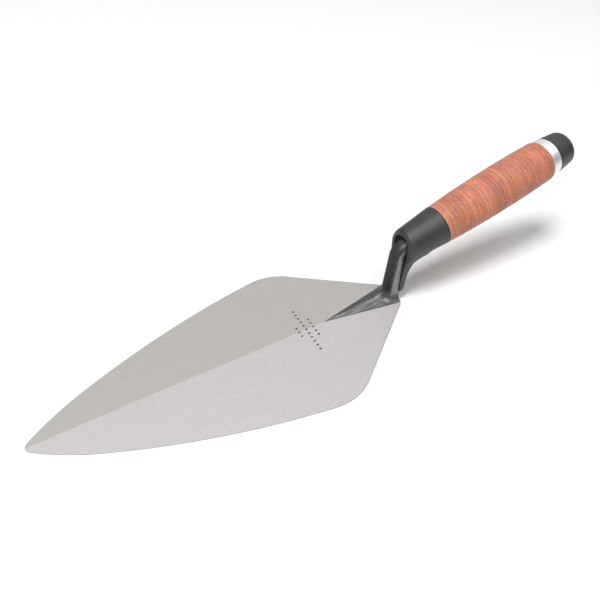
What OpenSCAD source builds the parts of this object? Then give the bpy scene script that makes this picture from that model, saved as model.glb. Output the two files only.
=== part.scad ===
// Brick trowel: ground blade, forged neck and tang, moulded finger guard,
// stacked leather grip, aluminium end collar and black end cap.
// Millimetres. +X runs from the blade's tip to the butt, +Z is up, and the blade's
// flat underside lies on Z = 0. The origin is under the middle of the whole tool.

/* [Blade] */
// Length of the blade from tip to heel
blade_len = 279.4; // [250:0.1:310]
// Width of the blade across the shoulders
blade_w = 138; // [130:1:146]
// Width of the straight heel, where the neck stands
heel_w = 23; // [21:0.5:26]
// Thickness on the ridge at the heel
ridge_t_heel = 3; // [2.6:0.1:3.4]
// Thickness on the ridge at the tip
ridge_t_tip = 1.4; // [1.2:0.1:1.8]
// Thickness of the edge at the shoulders
edge_t = 1.1; // [0.8:0.1:1.2]

/* [Neck] */
// Width of the neck across the blade
neck_w = 12; // [11.4:0.2:12.4]
// Depth of the neck along the blade, at the elbow
neck_d = 10; // [9.6:0.2:10.8]
// Depth of the neck where it meets the foot
neck_foot_d = 12.8; // [11.6:0.2:13.4]
// Distance from the heel forward to the neck's centre line at the elbow
neck_inset = 1.3; // [1:0.1:1.8]
// Length of the foot ahead of the heel
foot_len = 64; // [56:1:72]
// Radius of the elbow on the neck's centre line
elbow_r = 9; // [8:0.5:9.5]
// Diameter of the tang inside the handle
tang_d = 9; // [8:0.5:10]

/* [Grip] */
// Rise of the handle above the blade's plane, in degrees
grip_pitch = 15.6; // [12:0.2:18]
// Distance from the heel back to the front of the leather
grip_setback = 33.9; // [32:0.1:37]
// Height of the handle's centre line at the front of the leather
grip_height = 58.5; // [57:0.5:62]
// Length of the leather stack
grip_len = 98; // [90:1:110]
// Diameter of the leather at the finger guard
grip_d_front = 31; // [30:0.5:33]
// Diameter of the leather at its fullest
grip_d_belly = 34.6; // [33.5:0.2:36]
// Diameter of the leather at the collar
grip_d_rear = 33; // [32:0.5:34]

/* [Butt] */
// Length of the aluminium collar
collar_len = 7; // [6:0.5:9]
// Diameter of the aluminium collar
collar_d = 31; // [30:0.5:32]
// Length of the end cap
cap_len = 16; // [15:0.5:19]
// Diameter of the end cap at its rear
cap_d_rear = 27.4; // [26:0.2:30]

/* [Finger guard] */
// Diameter of the guard where it covers the elbow
guard_d_front = 24.4; // [24:0.2:26]
// Height of the tongue's lower end above the table
tongue_z = 9; // [8:0.2:12]
// Thickness of the tongue behind the neck
tongue_t = 3.6; // [3.2:0.1:4.2]

/* [Hidden] */
$fn = 96;
washer_count = 28;

// Places along the tool
cap_round = 3;
cap_end_s = grip_len + collar_len + cap_len;
butt_reach = grip_setback + (cap_end_s - cap_round) * cos(grip_pitch)
  + (cap_d_rear / 2 - cap_round) * sin(grip_pitch) + cap_round;
tip_x = -(blade_len + butt_reach) / 2;
heel_x = tip_x + blade_len;
neck_x = heel_x - neck_inset;

// Blade outline: a chain of tangent arcs from the tip to the shoulder
tip_r = 4.3;
nose_r = 195;
side_r = 618;
shoulder_r = 39.5;
nose_heading = 36.6;
side_heading = 23.3;
shoulder_heading = 9.3;
tip_c = [tip_r, 0];
nose_c = tip_c + (tip_r - nose_r) * unit(90 + nose_heading);
side_c = nose_c + (nose_r - side_r) * unit(90 + side_heading);
shoulder_c = side_c + (side_r - shoulder_r) * unit(90 + shoulder_heading);
widen = blade_w / 2 / (shoulder_c.y + shoulder_r);
ridge_rise = (ridge_t_heel - ridge_t_tip) / blade_len;

// Neck and elbow
elbow_turn = 90 - grip_pitch;
elbow_tangent = elbow_r * tan(elbow_turn / 2);
elbow_z = grip_height - (grip_setback + neck_inset) * tan(grip_pitch) - elbow_tangent;
elbow_s = elbow_tangent - (grip_setback + neck_inset) / cos(grip_pitch);
neck_round = 4.2;
// Hidden joints: the column runs this far down into the foot, and the sections that
// end inside it are drawn in by this much
neck_sink = 2;
neck_draw_in = 0.2;
neck_back = neck_d / 2 - neck_inset;
neck_foot_x = heel_x + neck_back - neck_foot_d / 2;
neck_shoulder_s = -18;
foot_rim_z = 4.4;
foot_ridge_z = 7.6;
foot_ridge_back = 11;
foot_tip_w = 0.6;
neck_flare_z = 8.2;
neck_flare_reach = 0.6;
neck_flare_d = neck_foot_d - neck_back + neck_flare_reach;
neck_flare_w = neck_w + 5;
neck_fillet_z = 16;
thin = 0.4;
clear = 0.25;

// Handle internals
collar_boss_d = 22;
collar_boss_len = 4;
nut_flats = 13;
nut_len = 6;
tang_washer_d = 19;
tang_washer_t = 1.6;
boss_end_s = grip_len + collar_len + collar_boss_len;
nut_s = boss_end_s + tang_washer_t;
tang_end_s = nut_s + nut_len + 1;
washer_t = grip_len / washer_count;
washer_bevel = 0.2;

// Finger guard: its front face stands just behind the heel's edge
guard_front_x = heel_x + 0.6;
guard_back_x = neck_x + neck_d / 2 + clear + tongue_t;
guard_nose_s = -38;
hood_open_z = 58;
hood_open_w = neck_w + 2 * clear;
elbow_room_d = 14;
tongue_w_low = 13.8;
tongue_w_high = 20;
tongue_round_low = 3;
tongue_round_high = 8;
tongue_end_bevel = 1.6;
tongue_flare_z = 20;
web_steps = 6;
web_top_z = 43;
web_r = web_top_z - tongue_flare_z;
web_reach = 17;

function washer_name(i) = str("grip_washer_", i < 10 ? "0" : "", i);
function unit(a) = [cos(a), sin(a)];
function arc(c, r, a0, a1, steps) =
  [for (i = [0 : steps]) c + r * unit(a0 + (a1 - a0) * i / steps)];
function flip_y(points) =
  [for (i = [len(points) - 1 : -1 : 0]) [points[i].x, -points[i].y]];

// Leather radius at distance s along the grip: a shallow barrel through three diameters
function leather_r(s) =
  let (t = s / grip_len,
       front = grip_d_front / 2,
       rear = grip_d_rear / 2,
       bulge = grip_d_belly / 2 - (front + rear) / 2)
  front + (rear - front) * t + 4 * bulge * t * (1 - t);

// Half outline of the blade, tip at the origin, heel at blade_len
function half_outline() =
  let (heel = [blade_len, heel_w / 2 / widen],
       to_heel = heel - shoulder_c,
       leave = atan2(to_heel.y, to_heel.x) + acos(shoulder_r / norm(to_heel)),
       points = concat(
         arc(tip_c, tip_r, 180, 90 + nose_heading, 8),
         arc(nose_c, nose_r, 90 + nose_heading, 90 + side_heading, 12),
         arc(side_c, side_r, 90 + side_heading, 90 + shoulder_heading, 20),
         arc(shoulder_c, shoulder_r, 90 + shoulder_heading, leave, 20),
         [heel]))
  [for (p = points) [p.x, p.y * widen]];

// Rounded rectangle, centred, as a list of points
function rounded_box(w, h, r) =
  concat(
    arc([w / 2 - r, h / 2 - r], r, 0, 90, 8),
    arc([r - w / 2, h / 2 - r], r, 90, 180, 8),
    arc([r - w / 2, r - h / 2], r, 180, 270, 8),
    arc([w / 2 - r, r - h / 2], r, 270, 360, 8));

// Puts the handle's axis, drawn along +Z from the front of the leather, in its place
module on_grip() {
  translate([heel_x + grip_setback, 0, grip_height])
    rotate([0, 90 - grip_pitch, 0])
      children();
}

// Everything above the blade's two ground faces, which meet on the ridge
module above_blade() {
  fall = (ridge_t_tip + ridge_rise * shoulder_c.x - edge_t) / (blade_w / 2);
  pitch = atan(ridge_rise);
  bank = atan(fall * cos(pitch));
  big = 3 * blade_len;
  for (side = [0, 1])
    mirror([0, side, 0])
      translate([tip_x, 0, ridge_t_tip])
        rotate([-bank, -pitch, 0])
          translate([-big / 2, -big / 2, 0])
            cube(big);
}

module blade() {
  half = half_outline();
  color("silver")
    difference() {
      translate([tip_x, 0, 0])
        linear_extrude(2 * ridge_t_heel)
          polygon(concat(half, flip_y(half)));
      above_blade();
    }
}

// A thin upright slab: a slice of the foot at distance x ahead of the heel
module foot_slice(x, w, z) {
  translate([heel_x - x, -w / 2, 0])
    cube([thin, w, z]);
}

// The neck's section, d deep along the blade and drawn in by inset all round
module neck_section(d = neck_d, inset = 0) {
  polygon(rounded_box(d - 2 * inset, neck_w - 2 * inset, neck_round - inset));
}

// The triangular foot, with a low rim, a gable over it and a flare up to the neck,
// which leans back from the heel's edge
module foot() {
  tip_z = ridge_t_heel - ridge_rise * foot_len + thin / 2;
  hull() {
    foot_slice(foot_len, foot_tip_w, tip_z);
    foot_slice(thin, heel_w, foot_rim_z);
  }
  hull() {
    foot_slice(foot_len, foot_tip_w, tip_z);
    foot_slice(foot_ridge_back, 2, foot_ridge_z);
    foot_slice(thin, heel_w - 4, foot_rim_z);
    foot_slice(thin, neck_w - 2 * neck_round, foot_ridge_z);
  }
  hull() {
    translate([neck_foot_x, 0, neck_flare_z])
      linear_extrude(thin)
        neck_section(neck_foot_d, neck_draw_in);
    translate([heel_x - neck_flare_d / 2, 0, 0])
      linear_extrude(foot_rim_z)
        polygon(rounded_box(neck_flare_d, neck_flare_w, neck_round));
  }
  hull() {
    foot_slice(foot_ridge_back + 8, 2.4, foot_ridge_z - 1.8);
    translate([neck_x, 0, neck_fillet_z])
      linear_extrude(thin)
        polygon(rounded_box(neck_d, neck_w - 2, neck_round));
  }
}

module neck_forging() {
  color("dimgray") {
    difference() {
      foot();
      below_blade();
    }
    hull() {
      translate([neck_foot_x, 0, neck_flare_z - neck_sink])
        linear_extrude(thin)
          neck_section(neck_foot_d);
      translate([neck_x, 0, elbow_z])
        linear_extrude(thin)
          neck_section(neck_d, neck_draw_in / 2);
    }
    translate([neck_x + elbow_r, 0, elbow_z])
      rotate([90, 0, 0])
        rotate([0, 0, 180 - elbow_turn])
          rotate_extrude(angle = elbow_turn)
            translate([elbow_r, 0])
              neck_section();
    on_grip() {
      translate([0, 0, elbow_s])
        linear_extrude(neck_shoulder_s - elbow_s)
          neck_section();
      translate([0, 0, neck_shoulder_s])
        cylinder(h = tang_end_s - neck_shoulder_s, d = tang_d);
    }
  }
}

// Everything under the blade's ground faces, carried on past the heel
module below_blade() {
  difference() {
    translate([heel_x - 2 * foot_len, -heel_w, -1])
      cube([3 * foot_len, 2 * heel_w, 2 * ridge_t_heel]);
    above_blade();
  }
}

// A level slab of the guard from its front face back to x = back
module guard_slab(z, back, w, r) {
  translate([(guard_front_x + back) / 2, 0, z])
    linear_extrude(thin)
      polygon(rounded_box(back - guard_front_x, w, r));
}

// The web between tongue and hood at height t, from 0 to 1. Its back follows a hollow
// curve for the finger, and its sides widen to meet the hood
module guard_level(t) {
  guard_slab(
    tongue_flare_z + web_r * t,
    guard_back_x + web_reach * (1 - sqrt(1 - t * t)),
    tongue_w_low + (tongue_w_high - tongue_w_low) * t,
    tongue_round_low + (tongue_round_high - tongue_round_low) * t);
}

// The outside of the guard: hood, web and tongue
module guard_body() {
  intersection() {
    on_grip()
      rotate_extrude()
        polygon([
          [0, guard_nose_s],
          [guard_d_front / 2, guard_nose_s],
          [grip_d_front / 2, 0],
          [0, 0]
        ]);
    translate([guard_front_x, -grip_d_front, 0])
      cube([100, 2 * grip_d_front, 100]);
  }
  for (i = [1 : web_steps])
    hull() {
      guard_level((i - 1) / web_steps);
      guard_level(i / web_steps);
    }
  hull() {
    guard_level(0);
    guard_slab(tongue_z + tongue_end_bevel, guard_back_x, tongue_w_low, tongue_round_low);
    guard_slab(
      tongue_z,
      guard_back_x - tongue_end_bevel / 2,
      tongue_w_low - 2 * tongue_end_bevel,
      tongue_round_low);
  }
}

// The room inside the guard: a channel for the neck, open in front and arched at
// the top, a wide bore for the elbow and a narrow one for the tang
module guard_room() {
  arch_z = hood_open_z - hood_open_w / 2;
  translate([neck_x + neck_d / 2 + clear, 0, 0])
    rotate([90, 0, -90])
      linear_extrude(2 * neck_d) {
        translate([-hood_open_w / 2, 0])
          square([hood_open_w, arch_z]);
        translate([0, arch_z])
          circle(d = hood_open_w);
      }
  on_grip() {
    translate([0, 0, 2 * guard_nose_s])
      cylinder(h = neck_shoulder_s - 2 * guard_nose_s, d = elbow_room_d);
    cylinder(h = 100, d = tang_d + 2 * clear, center = true);
  }
}

module finger_guard() {
  color("black")
    difference() {
      guard_body();
      guard_room();
    }
}

module grip_washer(i) {
  front = (i - 1) * washer_t;
  back = i * washer_t;
  shade = 0.08 * sin(i * 137.5);
  color([0.78 + shade, 0.47 + shade, 0.34 + shade])
    on_grip()
      rotate_extrude()
        polygon([
          [tang_d / 2 + clear, front],
          [leather_r(front) - washer_bevel, front],
          [leather_r(front), front + washer_bevel],
          [leather_r(back), back - washer_bevel],
          [leather_r(back) - washer_bevel, back],
          [tang_d / 2 + clear, back]
        ]);
}

module end_collar() {
  color("gainsboro")
    on_grip()
      translate([0, 0, grip_len])
        difference() {
          union() {
            cylinder(h = collar_len, d = collar_d);
            cylinder(h = collar_len + collar_boss_len, d = collar_boss_d);
          }
          translate([0, 0, -1])
            cylinder(h = collar_len + collar_boss_len + 2, d = tang_d + 2 * clear);
        }
}

module tang_washer() {
  color("slategray")
    on_grip()
      translate([0, 0, boss_end_s])
        difference() {
          cylinder(h = tang_washer_t, d = tang_washer_d);
          translate([0, 0, -1])
            cylinder(h = tang_washer_t + 2, d = tang_d + 2 * clear);
        }
}

module tang_nut() {
  color("slategray")
    on_grip()
      translate([0, 0, nut_s])
        difference() {
          cylinder(h = nut_len, d = nut_flats / cos(30), $fn = 6);
          translate([0, 0, -1])
            cylinder(h = nut_len + 2, d = tang_d);
        }
}

module end_cap() {
  start = grip_len + collar_len;
  rear_r = cap_d_rear / 2;
  room_end = tang_end_s + 0.5;
  color("black")
    on_grip()
      rotate_extrude()
        polygon(concat(
          [[collar_boss_d / 2, start], [collar_d / 2, start]],
          arc([rear_r - cap_round, cap_end_s - cap_round], cap_round, 0, 90, 10),
          [[0, cap_end_s], [0, room_end], [tang_washer_d / 2 + 0.5, room_end]],
          [[tang_washer_d / 2 + 0.5, boss_end_s], [collar_boss_d / 2, boss_end_s]]
        ));
}

blade();
neck_forging();
finger_guard();
for (i = [1 : washer_count])
  grip_washer(i);
end_collar();
tang_washer();
tang_nut();
end_cap();
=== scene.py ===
"""Brick trowel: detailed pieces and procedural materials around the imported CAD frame.

Blender objects are in metres, in the CAD's frame. Shapes are worked out in millimetres,
with u measured back along X from the blade's heel, and scaled once when a mesh is made.
"""
import math

import bpy
import bmesh
import numpy as np
from mathutils import Matrix, Vector, noise


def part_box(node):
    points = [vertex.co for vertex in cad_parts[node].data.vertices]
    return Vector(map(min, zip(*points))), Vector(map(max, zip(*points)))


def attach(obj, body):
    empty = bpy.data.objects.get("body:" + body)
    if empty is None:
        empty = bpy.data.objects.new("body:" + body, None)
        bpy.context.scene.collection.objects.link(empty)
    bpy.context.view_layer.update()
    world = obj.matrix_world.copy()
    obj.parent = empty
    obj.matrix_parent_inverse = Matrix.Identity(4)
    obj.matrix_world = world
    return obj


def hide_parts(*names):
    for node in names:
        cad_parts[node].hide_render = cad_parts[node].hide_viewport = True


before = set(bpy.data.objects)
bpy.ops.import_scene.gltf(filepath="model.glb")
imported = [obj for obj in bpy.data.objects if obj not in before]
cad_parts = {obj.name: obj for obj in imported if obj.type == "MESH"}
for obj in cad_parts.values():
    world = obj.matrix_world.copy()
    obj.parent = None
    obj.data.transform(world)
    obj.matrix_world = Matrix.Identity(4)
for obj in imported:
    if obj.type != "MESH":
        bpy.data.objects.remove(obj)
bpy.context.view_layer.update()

LEATHER_SEED = 4
noise.seed_set(LEATHER_SEED)

# ---------------------------------------------------------------- driving sizes, in mm
MM = 0.001  # metres
WELD = 1e-7  # metres
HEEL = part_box("blade")[1].x  # metres, as is every place that the frame gives
BLADE_LEN = (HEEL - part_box("blade")[0].x) / MM
BLADE_HALF_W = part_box("blade")[1].y / MM
HEEL_HALF_W = 11.5
RIDGE_T_HEEL = 3.0
RIDGE_T_TIP = 1.4
EDGE_T = 1.1
EDGE_EASE = 0.35
SHARP_ANGLE = math.radians(25)

PITCH = math.radians(15.6)
GRIP_SETBACK = 33.9
GRIP_HEIGHT = 58.5
GRIP_LEN = 98.0
GRIP_R_FRONT, GRIP_R_BELLY, GRIP_R_REAR = 15.5, 17.3, 16.5
WASHERS = sorted(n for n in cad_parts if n.startswith("grip_washer_"))
WASHER_T = GRIP_LEN / len(WASHERS)
WASHER_SEGMENTS = 144
WASHER_EASE, WASHER_EASE_SPREAD = 0.16, 0.10
WASHER_SHRINK, WASHER_SHRINK_SPREAD = 0.05, 0.10
GRIP_EASE_FRONT, GRIP_EASE_REAR = 0.45, 1.1
GRIP_DROP_REAR = 0.1
SANDING_DEPTH = 0.10
SANDING_SCALE = 1.6
# Length in mm of the painted highlight on the first washer's eased front edge.
EDGE_HIGHLIGHT_LEN = 0.4
TANG_R = 4.5
TANG_SEGMENTS = 48
TANG_SINK = 1.0
TANG_PAST_GRIP = 19.6
CLEAR = 0.25

COLLAR_LEN = 7.0
COLLAR_R = 15.5
SPIGOT_R = 11.0
SPIGOT_LEN = 4.0
CAP_LEN = 16.0
CAP_R, CAP_R_END = 15.4, 13.28
CAP_ROUND = 3.0
CAP_ROOM_R = 10.0
CAP_END_T = 3.4
RECESS_R, RECESS_R_FLOOR = 9.0, 8.6
RECESS_DEPTH = 0.5

NECK_U = -1.3
NECK_HALF_DEPTH = 5.0
NECK_TAPER = 0.039
NECK_HALF_WIDTH = 6.0
NECK_CORNER_R = 4.2
ELBOW_R = 9.0
FOOT_LEN = 64.0

MARK_ROWS = {-73.0: 2, -79.0: 5, -85.0: 1}
MARK_PITCH = 4.2
MARK_HALF = 1.2
MARK_HALF_ACROSS = 0.8 * MARK_HALF
MARK_DEPTH = 0.25


# ---------------------------------------------------------------- making pieces
def add_piece(name, mesh, node):
    """A new piece that rides on the one body and stands for its CAD node."""
    piece = bpy.data.objects.new(name, mesh)
    bpy.context.scene.collection.objects.link(piece)
    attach(piece, "root")
    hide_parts(node)
    return piece


def make_mesh(name, points_mm, faces, material):
    """A mesh from points in mm from the heel, smooth, with its normals outward."""
    points = np.asarray(points_mm, float) * MM + [HEEL, 0, 0]
    mesh = bpy.data.meshes.new(name)
    mesh.from_pydata(points.tolist(), [], faces)
    work = bmesh.new()
    work.from_mesh(mesh)
    bmesh.ops.remove_doubles(work, verts=work.verts, dist=WELD)
    bmesh.ops.recalc_face_normals(work, faces=work.faces)
    work.to_mesh(mesh)
    work.free()
    mesh.materials.append(material)
    mesh.shade_smooth()
    return mesh


def weighted_normals(obj):
    """Keeps wide flats flat and lets the narrow rounded edges carry the turn."""
    modifier = obj.modifiers.new("weighted_normals", "WEIGHTED_NORMAL")
    modifier.keep_sharp = True


def grip_point(s, r, a):
    """A point in mm at distance s along the handle's axis, radius r and angle a."""
    up = r * math.sin(a)
    return (
        GRIP_SETBACK + s * math.cos(PITCH) - up * math.sin(PITCH),
        r * math.cos(a),
        GRIP_HEIGHT + s * math.sin(PITCH) + up * math.cos(PITCH),
    )


def rounded_profile(corners, steps=6):
    """A profile of (s, r) points in which each corner (s, r, radius) becomes an arc."""
    points = []
    count = len(corners)
    for i, (s, r, radius) in enumerate(corners):
        here = Vector((s, r))
        to_last = Vector(corners[i - 1][:2]) - here
        to_next = Vector(corners[(i + 1) % count][:2]) - here
        if radius == 0:
            points.append(here)
            continue
        half = to_last.angle(to_next) / 2
        reach = radius / math.tan(half)
        start = here + to_last.normalized() * reach
        end = here + to_next.normalized() * reach
        middle = here + (to_last.normalized() + to_next.normalized()).normalized() * (
            radius / math.sin(half)
        )
        for k in range(steps + 1):
            t = k / steps
            spoke = (start - middle).lerp(end - middle, t).normalized() * radius
            points.append(middle + spoke)
    return points


def lathe(name, profile, material, segments=128, wobble=None):
    """A closed ring of a profile turned round the handle's axis. wobble changes r."""
    points = []
    for k in range(segments):
        a = 2 * math.pi * k / segments
        for s, r in profile:
            points.append(grip_point(s, wobble(s, r, a) if wobble else r, a))
    n = len(profile)
    faces = []
    for k in range(segments):
        for j in range(n):
            here, there = k * n, (k + 1) % segments * n
            after = (j + 1) % n
            faces.append((here + j, here + after, there + after, there + j))
    return make_mesh(name, points, faces, material)


# ---------------------------------------------------------------- distance fields
def union_round(a, b, r):
    """The union of two distance fields with a fillet of radius r between them."""
    near = np.hypot(np.maximum(r - a, 0), np.maximum(r - b, 0))
    return np.maximum(r, np.minimum(a, b)) - near


def intersect_round(a, b, r):
    """The intersection of two distance fields with its edge rounded to radius r."""
    near = np.hypot(np.maximum(r + a, 0), np.maximum(r + b, 0))
    return np.minimum(-r, np.maximum(a, b)) + near


def cut_round(a, b, r):
    """Field a with field b cut out of it, the cut's edge rounded to radius r."""
    return intersect_round(a, -b, r)


def rounded_rectangle(x, y, half_x, half_y, r):
    """Distance to a rectangle centred on 0, 0 with corners of radius r."""
    dx = np.abs(x) - half_x + r
    dy = np.abs(y) - half_y + r
    outside = np.hypot(np.maximum(dx, 0), np.maximum(dy, 0))
    return outside + np.minimum(np.maximum(dx, dy), 0) - r


def smooth_step(x, low, high):
    """0 up to low, 1 from high on, with an easy run between."""
    t = np.clip((x - low) / (high - low), 0, 1)
    return t * t * (3 - 2 * t)


def grip_axes(u, z):
    """Distance along the handle's axis, and across it in the upright plane."""
    du, dz = u - GRIP_SETBACK, z - GRIP_HEIGHT
    along = du * math.cos(PITCH) + dz * math.sin(PITCH)
    across = dz * math.cos(PITCH) - du * math.sin(PITCH)
    return along, across


def surface_net(field, low, high, step):
    """Points and quads of the zero level of field(u, y, z), one point in each grid
    cell that the surface crosses, drawn onto the surface afterwards."""
    lines = [np.arange(a, b + step, step) for a, b in zip(low, high)]
    grid = np.stack(np.meshgrid(*lines, indexing="ij"))
    value = field(*grid)
    inside = value < 0
    cells = tuple(n - 1 for n in value.shape)
    total = np.zeros((3,) + cells)
    count = np.zeros(cells)
    corners = [(i, j, k) for i in (0, 1) for j in (0, 1) for k in (0, 1)]
    for c in corners:
        for d in corners:
            if sum(d) - sum(c) != 1 or any(q < p for p, q in zip(c, d)):
                continue
            at_c = tuple(slice(p, p + n) for p, n in zip(c, cells))
            at_d = tuple(slice(p, p + n) for p, n in zip(d, cells))
            crossing = inside[at_c] != inside[at_d]
            gap = np.where(crossing, value[at_c] - value[at_d], 1)
            t = np.where(crossing, value[at_c] / gap, 0)
            for n in range(3):
                p, q = grid[n][at_c], grid[n][at_d]
                total[n] += np.where(crossing, p + t * (q - p), 0)
            count += crossing
    used = count > 0
    index = np.full(cells, -1)
    index[used] = np.arange(used.sum())
    points = (total[:, used] / count[used]).T

    faces = []
    for n in range(3):
        first, second = [m for m in range(3) if m != n]
        here = [slice(1, -1)] * 3
        here[n] = slice(None, -1)
        there = list(here)
        there[n] = slice(1, None)
        at = np.argwhere(inside[tuple(here)] != inside[tuple(there)])
        at[:, first] += 1
        at[:, second] += 1
        ring = []
        for back_first, back_second in ((1, 1), (0, 1), (0, 0), (1, 0)):
            cell = at.copy()
            cell[:, first] -= back_first
            cell[:, second] -= back_second
            ring.append(index[tuple(cell.T)])
        faces.append(np.stack(ring, 1))
    return settle(field, points, step), np.concatenate(faces).tolist()


def settle(field, points, step, rounds=3):
    """Moves points along the field's slope until they lie on its zero level."""
    probe = step / 20
    flattest = 0.05
    for _ in range(rounds):
        slope = np.empty_like(points)
        for n in range(3):
            ahead, behind = points.copy(), points.copy()
            ahead[:, n] += probe
            behind[:, n] -= probe
            slope[:, n] = (field(*ahead.T) - field(*behind.T)) / (2 * probe)
        size = np.maximum((slope**2).sum(1), flattest)
        move = (field(*points.T) / size)[:, None] * slope
        points = points - np.clip(move, -step / 2, step / 2)
    return points


# ---------------------------------------------------------------- materials
def new_material(name, **constants):
    """A Principled material with its constant sockets set, and the shader node."""
    material = bpy.data.materials.new(name)
    material.use_nodes = True
    shader = material.node_tree.nodes["Principled BSDF"]
    for socket, value in constants.items():
        shader.inputs[socket.replace("_", " ")].default_value = value
    return material, shader


def add_node(material, kind, inputs=None, **settings):
    """Adds a node. An input given as a socket is linked, any other is its value."""
    made = material.node_tree.nodes.new(kind)
    for name, value in settings.items():
        setattr(made, name, value)
    for name, value in (inputs or {}).items():
        if isinstance(value, bpy.types.NodeSocket):
            material.node_tree.links.new(value, made.inputs[name])
        else:
            made.inputs[name].default_value = value
    return made


def link(material, output, socket):
    """Joins a node's output to another node's input."""
    material.node_tree.links.new(output, socket)


def stretched(material, scale, pitch=0.0):
    """Object coordinates in mm, turned by pitch about Y and scaled on each axis."""
    where = add_node(material, "ShaderNodeTexCoord").outputs["Object"]
    turned = add_node(
        material,
        "ShaderNodeMapping",
        {"Vector": where, "Rotation": (0, pitch, 0)},
    )
    return add_node(
        material,
        "ShaderNodeMapping",
        {"Vector": turned.outputs[0], "Scale": [s / MM for s in scale]},
    ).outputs[0]


def grain(material, vector, scale=1.0, detail=3.0, roughness=0.5):
    """Noise from 0 to 1 over the given coordinates."""
    return add_node(
        material,
        "ShaderNodeTexNoise",
        {"Vector": vector, "Scale": scale, "Detail": detail, "Roughness": roughness},
    ).outputs[0]


def ramp(material, value, stops):
    """A colour ramp of (place, colour) stops. A colour may be one grey number."""
    made = add_node(material, "ShaderNodeValToRGB", {"Fac": value})
    elements = made.color_ramp.elements
    while len(elements) < len(stops):
        elements.new(0.5)
    for element, (place, colour) in zip(elements, stops):
        element.position = place
        rgb = (colour,) * 3 if isinstance(colour, (int, float)) else colour
        element.color = (*rgb, 1)
    return made.outputs[0]


MIX_SHARE, MIX_A, MIX_B, MIX_RESULT = 0, 6, 7, 2


def blend_colour(material, share, a, b, mode="MIX"):
    """Colour a with share of colour b in it, each a socket or a value."""
    made = add_node(material, "ShaderNodeMix", data_type="RGBA", blend_type=mode)
    for socket, value in ((MIX_SHARE, share), (MIX_A, a), (MIX_B, b)):
        if isinstance(value, bpy.types.NodeSocket):
            link(material, value, made.inputs[socket])
        elif socket == MIX_SHARE:
            made.inputs[socket].default_value = value
        else:
            made.inputs[socket].default_value = (*value, 1)
    return made.outputs[MIX_RESULT]


def bump(material, shader, height, depth_mm, strength=1.0, under=None):
    """Raises the surface by height, at depth_mm for its full range."""
    inputs = {"Height": height, "Distance": depth_mm * MM, "Strength": strength}
    if under:
        inputs["Normal"] = under
    made = add_node(material, "ShaderNodeBump", inputs)
    link(material, made.outputs[0], shader.inputs["Normal"])
    return made.outputs[0]


def ground_steel():
    """Satin steel with a fine grain along the blade. The ground face on +Y is painted a
    little darker above its edge, as painted shade for the dimmer of the two faces."""
    edge_top = 0.4 * MM
    material, shader = new_material("ground_steel", Metallic=0.25)
    fine = grain(material, stretched(material, (0.25, 1.6, 1.6)), detail=4, roughness=0.65)
    bands = grain(material, stretched(material, (0.01, 0.2, 0.2)), detail=2)
    tone = ramp(material, fine, [(0.3, (0.412, 0.399, 0.395)), (0.7, (0.482, 0.466, 0.462))])
    band = ramp(material, bands, [(0.3, 0.98), (0.7, 1.0)])
    colour = blend_colour(material, 1.0, tone, band, "MULTIPLY")
    where = add_node(material, "ShaderNodeTexCoord").outputs["Object"]
    axes = add_node(material, "ShaderNodeSeparateXYZ", {"Vector": where})
    side = add_node(
        material, "ShaderNodeMath", {0: axes.outputs["Y"], 1: 0.0}, operation="GREATER_THAN"
    )
    top = add_node(
        material, "ShaderNodeMath", {0: axes.outputs["Z"], 1: edge_top}, operation="GREATER_THAN"
    )
    both = add_node(
        material, "ShaderNodeMath", {0: side.outputs[0], 1: top.outputs[0]}, operation="MULTIPLY"
    )
    # Painted shade: the ground face on +Y is darkened above its edge.
    painted_shade_far_half = blend_colour(material, 1.0, colour, (0.85, 0.845, 0.815), "MULTIPLY")
    colour = blend_colour(material, both.outputs[0], colour, painted_shade_far_half)
    link(material, colour, shader.inputs["Base Color"])
    link(material, ramp(material, fine, [(0.3, 0.58), (0.7, 0.64)]), shader.inputs["Roughness"])
    bump(material, shader, fine, 0.010, 0.6)
    return material


def etched_steel():
    """The dark floor of the punched mark."""
    material, shader = new_material("etched_steel", Metallic=0.6)
    spots = grain(material, stretched(material, (3.0, 3.0, 3.0)), detail=4)
    link(material, ramp(material, spots, [(0.3, 0.035), (0.7, 0.10)]), shader.inputs["Base Color"])
    link(material, ramp(material, spots, [(0.3, 0.5), (0.7, 0.8)]), shader.inputs["Roughness"])
    bump(material, shader, spots, 0.05)
    return material


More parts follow.
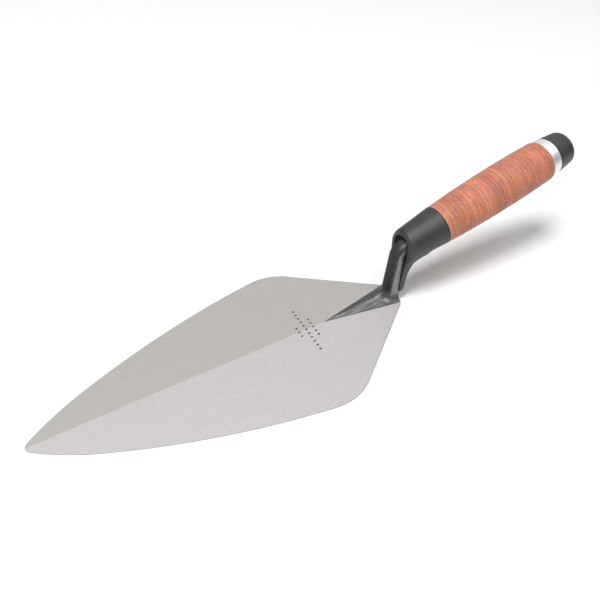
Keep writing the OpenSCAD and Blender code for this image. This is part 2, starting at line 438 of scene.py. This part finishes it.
def forged_steel():
    """Dark forging scale, faintly mottled and brownish in places, and streaked lengthwise
    on the foot. Faces that look sideways are painted a lighter grey, as painted light."""
    all_foot, no_foot = 7 * MM, 13 * MM
    material, shader = new_material("forged_steel", Metallic=1.0)
    where = stretched(material, (1.0, 1.0, 1.0))
    mottle = grain(material, where, scale=0.28, detail=5, roughness=0.6)
    fine = grain(material, where, scale=1.6, detail=4)
    brown = grain(material, where, scale=0.09, detail=2)
    # Painted light: faces whose normal points along Y are painted a lighter grey.
    facing = add_node(material, "ShaderNodeNewGeometry").outputs["Normal"]
    axes = add_node(material, "ShaderNodeSeparateXYZ", {"Vector": facing})
    sideways = add_node(material, "ShaderNodeMath", {0: axes.outputs["Y"]}, operation="ABSOLUTE")
    sideways_light_mask = ramp(material, sideways.outputs[0], [(0.82, 0.0), (0.98, 1.0)])
    place = add_node(material, "ShaderNodeTexCoord").outputs["Object"]
    height = add_node(material, "ShaderNodeSeparateXYZ", {"Vector": place}).outputs["Z"]
    low = add_node(
        material,
        "ShaderNodeMapRange",
        {"Value": height, "From Min": no_foot, "From Max": all_foot},
    ).outputs[0]
    streaks = grain(material, stretched(material, (0.03, 0.9, 0.9)), detail=3)
    worn = ramp(material, streaks, [(0.35, 0.11), (0.65, 0.23)])
    scale = ramp(material, mottle, [(0.3, (0.058, 0.056, 0.055)), (0.7, (0.105, 0.102, 0.100))])
    rust = ramp(material, brown, [(0.5, 0.0), (0.75, 0.35)])
    scale = blend_colour(material, rust, scale, (0.110, 0.076, 0.065))
    scale = blend_colour(material, low, scale, worn)
    painted_side_light_grey = ramp(material, mottle, [(0.3, 0.23), (0.7, 0.32)])
    link(material, blend_colour(material, sideways_light_mask, scale, painted_side_light_grey), shader.inputs["Base Color"])
    link(material, ramp(material, fine, [(0.3, 0.52), (0.7, 0.62)]), shader.inputs["Roughness"])
    rough = bump(material, shader, fine, 0.03, 0.5)
    bump(material, shader, mottle, 0.10, 0.6, under=rough)
    return material


def moulded_black(name, roughness, texture_depth, ior):
    """Black plastic with the fine even texture of a spark-eroded mould. Its roughness
    runs from the first number to the second, where it has been handled."""
    tone = 0.8
    material, shader = new_material(name, Metallic=0.0, IOR=ior)
    where = stretched(material, (1.0, 1.0, 1.0))
    pebble = grain(material, where, scale=3.2, detail=3)
    handled = grain(material, where, scale=0.12, detail=3)
    black = ramp(material, handled, [(0.35, (0.034, 0.035, 0.036)), (0.7, (0.044, 0.045, 0.047))])
    colour = blend_colour(material, 1.0, black, (tone,) * 3, "MULTIPLY")
    link(material, colour, shader.inputs["Base Color"])
    rough = ramp(material, handled, [(0.35, roughness[0]), (0.7, roughness[1])])
    link(material, rough, shader.inputs["Roughness"])
    bump(material, shader, pebble, texture_depth, 0.5)
    return material


def grip_leather():
    """Sanded edge grain of stacked leather: fine broken lines run round the grip over
    orange and reddish patches, and some of the glue lines between washers show dark."""
    material, shader = new_material("grip_leather", Specular_IOR_Level=0.3)
    shader.inputs["Sheen Weight"].default_value = 0.1
    shader.inputs["Sheen Roughness"].default_value = 0.5
    tone = add_node(material, "ShaderNodeAttribute", attribute_name="tone").outputs["Fac"]
    seam = add_node(material, "ShaderNodeAttribute", attribute_name="seam").outputs["Fac"]
    across = add_node(material, "ShaderNodeAttribute", attribute_name="across").outputs["Fac"]
    lines = grain(material, stretched(material, (1.2, 0.06, 0.06), PITCH), detail=5, roughness=0.75)
    threads = grain(material, stretched(material, (2.6, 0.12, 0.12), PITCH), detail=3)
    speckle = grain(material, stretched(material, (1.1, 0.7, 0.7), PITCH), detail=4, roughness=0.7)
    patches = grain(material, stretched(material, (0.16, 0.10, 0.10), PITCH), detail=5)
    orange = ramp(material, patches, [(0.4, (0.545, 0.192, 0.103)), (0.6, (0.465, 0.165, 0.118))])
    shade = ramp(material, tone, [(0.0, 0.84), (1.0, 1.08)])
    colour = blend_colour(material, 1.0, orange, shade, "MULTIPLY")
    for value, low, high in ((lines, 0.77, 1.15), (threads, 0.86, 1.08), (speckle, 0.72, 1.24)):
        colour = blend_colour(
            material, 1.0, colour, ramp(material, value, [(0.32, low), (0.66, high)]), "MULTIPLY"
        )
    pale = ramp(material, speckle, [(0.62, 0.0), (0.72, 0.35)])
    colour = blend_colour(material, pale, colour, (0.86, 0.41, 0.24))
    near = ramp(material, across, [(0.0, 1.0), (0.07, 0.0), (0.93, 0.0), (1.0, 1.0)])
    dark = blend_colour(material, 1.0, near, seam, "MULTIPLY")
    colour = blend_colour(material, dark, colour, (0.16, 0.045, 0.028))
    # Painted highlight: a pale band on the first washer's eased front edge.
    painted_edge_highlight = add_node(material, "ShaderNodeAttribute", attribute_name="painted_edge_highlight").outputs["Fac"]
    colour = blend_colour(material, painted_edge_highlight, colour, (0.78, 0.50, 0.33))
    link(material, colour, shader.inputs["Base Color"])
    link(material, ramp(material, lines, [(0.3, 0.62), (0.7, 0.46)]), shader.inputs["Roughness"])
    rough = bump(material, shader, lines, 0.12, 0.7)
    bump(material, shader, speckle, 0.06, 0.5, under=rough)
    return material


def turned_metal(name, greys, roughness, metallic):
    """Bright metal with fine lathe lines round the handle's axis, from the first grey
    to the second."""
    material, shader = new_material(name, Metallic=metallic)
    lines = grain(material, stretched(material, (9.0, 0.03, 0.03), PITCH), detail=3)
    marks = grain(material, stretched(material, (0.3, 0.3, 0.3)), detail=3)
    tone = ramp(material, lines, [(0.3, greys[0]), (0.7, greys[1])])
    link(material, tone, shader.inputs["Base Color"])
    rough = ramp(material, marks, [(0.3, roughness), (0.7, roughness + 0.08)])
    link(material, rough, shader.inputs["Roughness"])
    bump(material, shader, lines, 0.01, 0.5)
    return material


# ---------------------------------------------------------------- blade
def unit(degrees):
    """The direction at an angle from +X."""
    return Vector((math.cos(math.radians(degrees)), math.sin(math.radians(degrees))))


def arc_points(centre, r, start, end, steps):
    """Points along an arc from one angle to another, both in degrees."""
    return [centre + unit(start + (end - start) * k / steps) * r for k in range(steps + 1)]


def half_outline():
    """The blade's outline from tip to heel, tip at 0, as a chain of tangent arcs."""
    tip_r, nose_r, side_r, shoulder_r = 4.3, 195.0, 618.0, 39.5
    nose_at, side_at, shoulder_at = 90 + 36.6, 90 + 23.3, 90 + 9.3
    tip_c = Vector((tip_r, 0))
    nose_c = tip_c + unit(nose_at) * (tip_r - nose_r)
    side_c = nose_c + unit(side_at) * (nose_r - side_r)
    shoulder_c = side_c + unit(shoulder_at) * (side_r - shoulder_r)
    widen = BLADE_HALF_W / (shoulder_c.y + shoulder_r)
    heel = Vector((BLADE_LEN, HEEL_HALF_W / widen))
    to_heel = heel - shoulder_c
    turn = math.degrees(math.acos(shoulder_r / to_heel.length))
    leave = math.degrees(math.atan2(to_heel.y, to_heel.x)) + turn
    points = arc_points(tip_c, tip_r, 180, nose_at, 14)
    points += arc_points(nose_c, nose_r, nose_at, side_at, 24)[1:]
    points += arc_points(side_c, side_r, side_at, shoulder_at, 36)[1:]
    points += arc_points(shoulder_c, shoulder_r, shoulder_at, leave, 36)[1:]
    points.append(heel)
    return [Vector((p.x - BLADE_LEN, p.y * widen)) for p in points], shoulder_c.x - BLADE_LEN


HALF_OUTLINE, SHOULDER_U = half_outline()


def ground_face(u, y):
    """Height of the blade's ground face, highest on the ridge."""
    rise = (RIDGE_T_HEEL - RIDGE_T_TIP) / BLADE_LEN
    ridge = RIDGE_T_HEEL + rise * u
    at_shoulder = RIDGE_T_HEEL + rise * SHOULDER_U
    return ridge - (at_shoulder - EDGE_T) / BLADE_HALF_W * abs(y)


def blade_mesh(material, mark_material):
    """A plate with a flat underside, two ground faces that meet on a crisp ridge and
    an edge eased to a small radius all round."""
    half = HALF_OUTLINE
    mirrored = [Vector((p.x, -p.y)) for p in reversed(half[1:])]
    ring = half + [Vector((0, 0))] + mirrored
    count = len(ring)
    steps = 4
    tightest = 0.5
    inward = []
    for i, here in enumerate(ring):
        before = (here - ring[i - 1]).normalized()
        after = (ring[(i + 1) % count] - here).normalized()
        normals = [Vector((-d.y, d.x)) for d in (before, after)]
        both = (normals[0] + normals[1]).normalized()
        inward.append(-both / max(both.dot(normals[0]), tightest))
    points = []
    levels = []
    for k in range(steps + 1):
        a = math.pi / 2 * k / steps
        levels.append((EDGE_EASE * (1 - math.sin(a)), "low", EDGE_EASE * (1 - math.cos(a))))
    for k in range(steps + 1):
        a = math.pi / 2 * k / steps
        levels.append((EDGE_EASE * (1 - math.cos(a)), "high", EDGE_EASE * (1 - math.sin(a))))
    for inset, side, drop in levels:
        for here, way in zip(ring, inward):
            at = here + way * inset
            height = drop if side == "low" else ground_face(at.x, at.y) - drop
            points.append((at.x, at.y, height))
    faces = []
    for level in range(len(levels) - 1):
        for i in range(count):
            j = (i + 1) % count
            a, b = level * count, (level + 1) * count
            faces.append((a + i, a + j, b + j, b + i))
    faces.append(tuple(range(count)))
    top = (len(levels) - 1) * count
    faces.append(tuple(top + i for i in range(len(half) + 1)))
    faces.append(tuple(top + i % count for i in range(len(half), count + 1)))
    mesh = make_mesh("blade_ground", points, faces, material)
    mesh.materials.append(mark_material)
    return mesh


def mark_cutter(material):
    """Rows of small lozenges set evenly across the ridge: a plain mark with no meaning."""
    above = RIDGE_T_HEEL + 1
    points = []
    faces = []
    places = [(u, k * MARK_PITCH) for u, n in MARK_ROWS.items() for k in range(-n, n + 1)]
    for mark_u, y in places:
        floor = ground_face(mark_u, y) - MARK_DEPTH
        corners = [(-MARK_HALF, 0), (0, -MARK_HALF_ACROSS), (MARK_HALF, 0), (0, MARK_HALF_ACROSS)]
        first = len(points)
        for z in (floor, above):
            points += [(mark_u + du, y + dy, z) for du, dy in corners]
        faces.append(tuple(first + n for n in (3, 2, 1, 0)))
        faces.append(tuple(first + n for n in (4, 5, 6, 7)))
        for n in range(4):
            m = (n + 1) % 4
            faces.append((first + n, first + m, first + 4 + m, first + 4 + n))
    return bpy.data.objects.new("mark_cutter", make_mesh("mark_cutter", points, faces, material))


def cut_mark(obj, cutter):
    """Cuts the mark into the blade for good."""
    scene = bpy.context.scene.collection
    scene.objects.link(cutter)
    modifier = obj.modifiers.new("mark", "BOOLEAN")
    modifier.object = cutter
    modifier.solver = "EXACT"
    modifier.material_mode = "TRANSFER"
    bpy.context.view_layer.update()
    shown = obj.evaluated_get(bpy.context.evaluated_depsgraph_get())
    mesh = bpy.data.meshes.new_from_object(shown)
    obj.modifiers.clear()
    obj.data = mesh
    bpy.data.objects.remove(cutter)


# ---------------------------------------------------------------- neck forging
ELBOW_TURN = math.pi / 2 - PITCH
ELBOW_TANGENT = ELBOW_R * math.tan(ELBOW_TURN / 2)
ELBOW_Z = GRIP_HEIGHT - (GRIP_SETBACK - NECK_U) * math.tan(PITCH) - ELBOW_TANGENT
ELBOW_S = ELBOW_TANGENT - (GRIP_SETBACK - NECK_U) / math.cos(PITCH)
NECK_SHOULDER_S = -18.0
RIM_TIP, RIM_RISE = 0.3, 1.3
GABLE_TIP, GABLE_RISE = 0.5, 5.0
GABLE_HOLLOW = 1.4
FOOT_EDGE_R = 0.35
FOOT_HEEL_R = 0.3
FOOT_SETBACK = 0.05
REAR_LEAN = 0.5
REAR_EDGE_R = 1.5
FILLET_MIDDLE, FILLET_LOSS = 9.0, 4.5
FILLET_MIDDLE_Y, FILLET_SIDE_Y = 1.0, 5.0
FORGING_LOW_Z = 1.2
FORGING_GRID = (-66, -13, 0), (21, 13, 65), 0.45

# What a sloping face is multiplied by, so that its field stays a distance.
GABLE_STEEPNESS, SIDE_STEEPNESS, REAR_STEEPNESS = 0.95, 0.98, 0.89


def neck_core(u, y, z):
    """The neck's bar: up from the foot with an upright back and a front that slopes
    back, then round the elbow and back along the handle."""
    along, across = grip_axes(u, z)
    taper = NECK_TAPER * np.maximum(ELBOW_Z - z, 0)
    half_depth = NECK_HALF_DEPTH + taper
    off_up = u - NECK_U + taper
    off_turn = ELBOW_R - np.hypot(u - NECK_U - ELBOW_R, z - ELBOW_Z)
    off = np.where(z < ELBOW_Z, off_up, np.where(along > ELBOW_S, -across, off_turn))
    bar = rounded_rectangle(off, y, half_depth, NECK_HALF_WIDTH, NECK_CORNER_R)
    return np.maximum(bar, along - NECK_SHOULDER_S)


def foot_field(u, y, z):
    """The long triangular foot: a low rim, a hollow gable over it and a ridge."""
    t = np.clip((u + FOOT_LEN) / FOOT_LEN, 0, 1)
    half_w = HEEL_HALF_W * (u + FOOT_LEN) / FOOT_LEN
    thinnest = 0.1
    slope_in = np.clip(1 - np.abs(y) / np.maximum(half_w, thinnest), 0, 1)
    rim = RIM_TIP + RIM_RISE * t
    ridge = GABLE_TIP + GABLE_RISE * t
    ridge_top = rim + (ridge - rim) * slope_in**GABLE_HOLLOW
    fall = (RIDGE_T_HEEL - EDGE_T) / BLADE_HALF_W
    ground = RIDGE_T_HEEL + (RIDGE_T_HEEL - RIDGE_T_TIP) / BLADE_LEN * u - fall * np.abs(y)
    top = (z - ground - ridge_top) * GABLE_STEEPNESS
    side = (np.abs(y) - half_w) * SIDE_STEEPNESS
    wedge = intersect_round(top, side, FOOT_EDGE_R)
    return intersect_round(wedge, u + FOOT_SETBACK, FOOT_HEEL_R)


def forging_field(u, y, z):
    """Foot and neck run into each other through a hollow fillet, longest in front."""
    rear_slope = (u - REAR_LEAN * (z - RIDGE_T_HEEL)) * REAR_STEEPNESS
    neck = intersect_round(neck_core(u, y, z), rear_slope, REAR_EDGE_R)
    to_side = smooth_step(np.abs(y), FILLET_MIDDLE_Y, FILLET_SIDE_Y)
    fillet = FILLET_MIDDLE - FILLET_LOSS * to_side
    body = union_round(neck, foot_field(u, y, z), fillet)
    return np.maximum(body, FORGING_LOW_Z - z)


# ---------------------------------------------------------------- finger guard
GUARD_FRONT_U = 0.6
GUARD_R_REAR = 15.45
GUARD_R_NOSE = 12.2
GUARD_NOSE_S = -38.0
TONGUE_BACK_U = 7.25
TONGUE_HALF_W = 6.9
TONGUE_Z = 9.0
TONGUE_THINNING = 1.5
TONGUE_END_R = 2.0
WEB_FRONT_U = -12.0
WEB_LOW_Z = 20.0
WEB_TOP_Z = 43.0
WEB_REACH = 17.0
WEB_HALF_W = 9.4
WEB_CORNER_R, WEB_CORNER_GAIN = 2.6, 4.4
WEB_FILLET = 4.0
MOUTH_LOW_Z, MOUTH_HIGH_Z = 30.0, 48.0
MOUTH_R, MOUTH_R_GAIN = 0.45, 3.2
REAR_RIM_R = 0.4
ARCH_TOP_Z = 58.6
SLOT_WIDENING = 0.9
SLOT_CORNER_R = 2.4
ROOM_R, ROOM_R_GAIN = 0.35, 1.1
GUARD_GRID = (-1.15, -17, 7), (41, 17, 76), 0.5


def guard_field(u, y, z):
    """A tapered hood over the elbow and a tongue behind the neck, joined by a web
    whose back is hollowed for the finger and whose sides widen to meet the hood."""
    along, across = grip_axes(u, z)
    radius = np.hypot(across, y)
    taper = (GUARD_R_REAR - GUARD_R_NOSE) / -GUARD_NOSE_S
    hood = (radius - GUARD_R_REAR - taper * along) * math.cos(math.atan(taper))
    t = np.clip((z - WEB_LOW_Z) / (WEB_TOP_Z - WEB_LOW_Z), 0, 1)
    thin_end = TONGUE_THINNING * np.clip((WEB_LOW_Z - z) / (WEB_LOW_Z - TONGUE_Z), 0, 1)
    back = TONGUE_BACK_U - thin_end + WEB_REACH * (1 - np.sqrt(1 - t**2))
    half_w = TONGUE_HALF_W + (WEB_HALF_W - TONGUE_HALF_W) * t
    middle, half_depth = (WEB_FRONT_U + back) / 2, (back - WEB_FRONT_U) / 2
    corner = WEB_CORNER_R + WEB_CORNER_GAIN * t
    web = rounded_rectangle(u - middle, y, half_depth, half_w, corner)
    web = np.maximum(web, z - WEB_TOP_Z)
    body = union_round(hood, web, WEB_FILLET)
    body = intersect_round(body, TONGUE_Z - z, TONGUE_END_R)
    high = smooth_step(z, MOUTH_LOW_Z, MOUTH_HIGH_Z)
    body = intersect_round(body, GUARD_FRONT_U - u, MOUTH_R + MOUTH_R_GAIN * high)
    body = intersect_round(body, along, REAR_RIM_R)

    arch_z = ARCH_TOP_Z - NECK_HALF_WIDTH - CLEAR
    slot = np.hypot(y, np.maximum(z - arch_z, 0)) - NECK_HALF_WIDTH - CLEAR - SLOT_WIDENING * high
    slot_back = u - (NECK_U + NECK_HALF_DEPTH + CLEAR)
    slot = intersect_round(slot, slot_back, SLOT_CORNER_R)
    room = np.minimum(slot, neck_core(u, y, z) - CLEAR)
    room = np.minimum(room, radius - TANG_R - CLEAR)
    return cut_round(body, room, ROOM_R + ROOM_R_GAIN * high)


# ---------------------------------------------------------------- grip and butt
def leather_r(s):
    """Radius of the leather at s: a shallow barrel through three diameters."""
    t = s / GRIP_LEN
    straight = GRIP_R_FRONT + (GRIP_R_REAR - GRIP_R_FRONT) * t
    return straight + 4 * (GRIP_R_BELLY - (GRIP_R_FRONT + GRIP_R_REAR) / 2) * t * (1 - t)


def washer_mesh(i, name, material):
    """One leather washer, with eased edges and a hand-sanded, slightly uneven rim."""
    front, back = i * WASHER_T, (i + 1) * WASHER_T
    last = i == len(WASHERS) - 1
    ease = WASHER_EASE + WASHER_EASE_SPREAD * noise.random()
    seed = Vector((7.3 * i, 1.7, 0.4))
    shrink = WASHER_SHRINK + WASHER_SHRINK_SPREAD * noise.random()
    front_ease = GRIP_EASE_FRONT if i == 0 else ease
    back_ease = GRIP_EASE_REAR if last else ease
    drop = GRIP_DROP_REAR if last else 0
    corners = [
        (front, TANG_R + CLEAR, 0.0),
        (front, leather_r(front), front_ease),
        (back, leather_r(back) - drop, back_ease),
        (back, TANG_R + CLEAR, 0.0),
    ]
    profile = rounded_profile(corners, steps=5)

    def sanded(s, r, a):
        """Radius r as sanding left it, or unchanged in the hole for the tang."""
        in_the_hole = r < TANG_R + 1
        if in_the_hole:
            return r
        where = seed + Vector((math.cos(a), math.sin(a), 0.15 * s)) * SANDING_SCALE
        return r - shrink - SANDING_DEPTH * (0.5 + 0.5 * noise.noise(where))

    mesh = lathe(name, profile, material, WASHER_SEGMENTS, sanded)
    own_tone, own_seam = noise.random(), 0.2 + 0.8 * noise.random() ** 2
    along = np.resize([s for s, r in profile], len(mesh.vertices))
    # A pale band on the first washer's eased front edge is a painted highlight.
    highlighted_front_edge = (i == 0) & (along < EDGE_HIGHLIGHT_LEN)
    values = {
        "across": (along - front) / WASHER_T,
        "tone": np.full(len(along), own_tone),
        "seam": np.full(len(along), own_seam),
        "painted_edge_highlight": np.where(highlighted_front_edge, 0.8, 0.0),
    }
    for label, value in values.items():
        mesh.attributes.new(label, "FLOAT", "POINT").data.foreach_set("value", value)
    return mesh


def collar_profile():
    """A ring on the tang, with a spigot that the cap is pushed over."""
    start, end = GRIP_LEN, GRIP_LEN + COLLAR_LEN
    return rounded_profile(
        [
            (start, TANG_R + CLEAR, 0.0),
            (start, COLLAR_R, 0.5),
            (end, COLLAR_R, 0.35),
            (end, SPIGOT_R, 0.0),
            (end + SPIGOT_LEN, SPIGOT_R, 0.3),
            (end + SPIGOT_LEN, TANG_R + CLEAR, 0.0),
        ]
    )


def tang_profile():
    """The round tang from inside the neck's end to just past the nut."""
    start, end = NECK_SHOULDER_S - TANG_SINK, GRIP_LEN + TANG_PAST_GRIP
    return rounded_profile(
        [(start, 0.0, 0.0), (start, TANG_R, 0.3), (end, TANG_R, 0.8), (end, 0.0, 0.0)]
    )


def cap_profile():
    """A tapered cup over the spigot and the nut, with a shallow recess in its end."""
    start = GRIP_LEN + COLLAR_LEN
    end = start + CAP_LEN
    room = end - CAP_END_T
    return rounded_profile(
        [
            (start, SPIGOT_R, 0.0),
            (start, CAP_R, 0.35),
            (end, CAP_R_END, CAP_ROUND),
            (end, RECESS_R, 0.0),
            (end - RECESS_DEPTH, RECESS_R_FLOOR, 0.0),
            (end - RECESS_DEPTH, 0.0, 0.0),
            (room, 0.0, 0.0),
            (room, CAP_ROOM_R, 0.0),
            (start + SPIGOT_LEN, CAP_ROOM_R, 0.0),
            (start + SPIGOT_LEN, SPIGOT_R, 0.0),
        ]
    )


# ---------------------------------------------------------------- assembly
def build():
    """Every visual piece, and a material for the CAD nodes that stay in view."""
    steel = ground_steel()
    etched = etched_steel()
    forged = forged_steel()
    guard_black = moulded_black("guard_plastic", (0.46, 0.54), texture_depth=0.05, ior=1.52)
    cap_black = moulded_black("cap_plastic", (0.42, 0.48), texture_depth=0.03, ior=1.6)
    leather = grip_leather()
    bright = turned_metal("collar_aluminium", (0.85, 0.93), roughness=0.38, metallic=0.8)
    plated = turned_metal("plated_steel", (0.55, 0.62), roughness=0.3, metallic=1.0)

    blade = add_piece("blade_ground", blade_mesh(steel, etched), "blade")
    cut_mark(blade, mark_cutter(etched))
    blade.data.set_sharp_from_angle(angle=SHARP_ANGLE)
    weighted_normals(blade)

    neck = make_mesh("neck_forged", *surface_net(forging_field, *FORGING_GRID), forged)
    add_piece("neck_forged", neck, "neck_forging")
    tang = lathe("tang_rod", tang_profile(), forged, TANG_SEGMENTS)
    add_piece("tang_rod", tang, "neck_forging")

    guard = make_mesh("guard_moulded", *surface_net(guard_field, *GUARD_GRID), guard_black)
    add_piece("guard_moulded", guard, "finger_guard")

    for i, node in enumerate(WASHERS):
        name = f"leather_{i + 1:02d}"
        add_piece(name, washer_mesh(i, name, leather), node)

    collar = lathe("collar_turned", collar_profile(), bright)
    weighted_normals(add_piece("collar_turned", collar, "end_collar"))
    cap = lathe("cap_moulded", cap_profile(), cap_black)
    weighted_normals(add_piece("cap_moulded", cap, "end_cap"))

    for node in ("tang_washer", "tang_nut"):
        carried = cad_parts[node].data
        carried.materials.clear()
        carried.materials.append(plated)


CAMERA_ANGLES = -29.025, 44.873, -0.115  # azimuth, elevation and roll
CAMERA_LENS = 30.58
SENSOR_WIDTH = 36.0
CAMERA_AT = HEEL - 0.2073, -0.2215, 0.2885


def make_camera():
    """The photograph's viewing angle, from ahead of the heel and to the right."""
    azimuth, elevation, roll = (math.radians(a) for a in CAMERA_ANGLES)
    back = Vector(
        (
            math.sin(azimuth) * math.cos(elevation),
            -math.cos(azimuth) * math.cos(elevation),
            math.sin(elevation),
        )
    )
    right = Vector((math.cos(azimuth), math.sin(azimuth), 0))
    axes = Matrix((right, back.cross(right), back)).transposed()
    data = bpy.data.cameras.new("camera")
    data.sensor_width = SENSOR_WIDTH
    data.lens = CAMERA_LENS
    camera = bpy.data.objects.new("camera", data)
    turn = (axes @ Matrix.Rotation(roll, 3, "Z")).to_4x4()
    camera.matrix_world = Matrix.Translation(CAMERA_AT) @ turn
    bpy.context.scene.collection.objects.link(camera)
    bpy.context.scene.camera = camera


def area_light(name, at, aim, size, power):
    """A rectangular softbox at one place, facing another. Metres and watts."""
    data = bpy.data.lights.new(name, "AREA")
    data.shape = "RECTANGLE"
    data.size, data.size_y = size
    data.energy = power
    light = bpy.data.objects.new(name, data)
    light.location = at
    light.rotation_euler = (Vector(aim) - Vector(at)).to_track_quat("-Z", "Y").to_euler()
    bpy.context.scene.collection.objects.link(light)


def make_stage():
    """A pale floor under a high soft key and a small softbox in front, in a dim room."""
    floor = bpy.data.objects.new("floor", bpy.data.meshes.new("floor"))
    reach = 20
    corners = [(-reach, -reach, 0), (reach, -reach, 0), (reach, reach, 0), (-reach, reach, 0)]
    floor.data.from_pydata(corners, [], [(0, 1, 2, 3)])
    material, _ = new_material("floor_white", Base_Color=(0.79, 0.79, 0.79, 1), Roughness=0.9)
    floor.data.materials.append(material)
    bpy.context.scene.collection.objects.link(floor)

    bpy.context.scene.world = studio_sky(towards=(0.5, 0.45, 0.74), low=0.10, high=0.62)
    bpy.context.scene.view_settings.view_transform = "Standard"
    area_light("key", at=(-1.75, -0.4, 4.15), aim=(0.1, 0, 0.05), size=(1.3, 2.0), power=218)
    area_light(
        "front_softbox", at=(0.3, -1.0, 2.1), aim=(0.15, 0, 0.07), size=(1.2, 1.0), power=16
    )


def studio_sky(towards, low, high):
    """A dim room with one broad soft light overhead and behind, centred on a direction."""
    world = bpy.data.worlds.new("studio")
    world.use_nodes = True
    nodes, links = world.node_tree.nodes, world.node_tree.links
    where = nodes.new("ShaderNodeTexCoord")
    facing = nodes.new("ShaderNodeVectorMath")
    facing.operation = "DOT_PRODUCT"
    facing.inputs[1].default_value = Vector(towards).normalized()
    links.new(where.outputs["Generated"], facing.inputs[0])
    soft = nodes.new("ShaderNodeMapRange")
    soft.interpolation_type = "SMOOTHSTEP"
    for name, value in (("From Min", 0.45), ("From Max", 0.95), ("To Min", low), ("To Max", high)):
        soft.inputs[name].default_value = value
    links.new(facing.outputs["Value"], soft.inputs["Value"])
    links.new(soft.outputs["Result"], nodes["Background"].inputs["Strength"])
    nodes["Background"].inputs["Color"].default_value = (1, 1, 1, 1)
    return world


build()
make_camera()
make_stage()
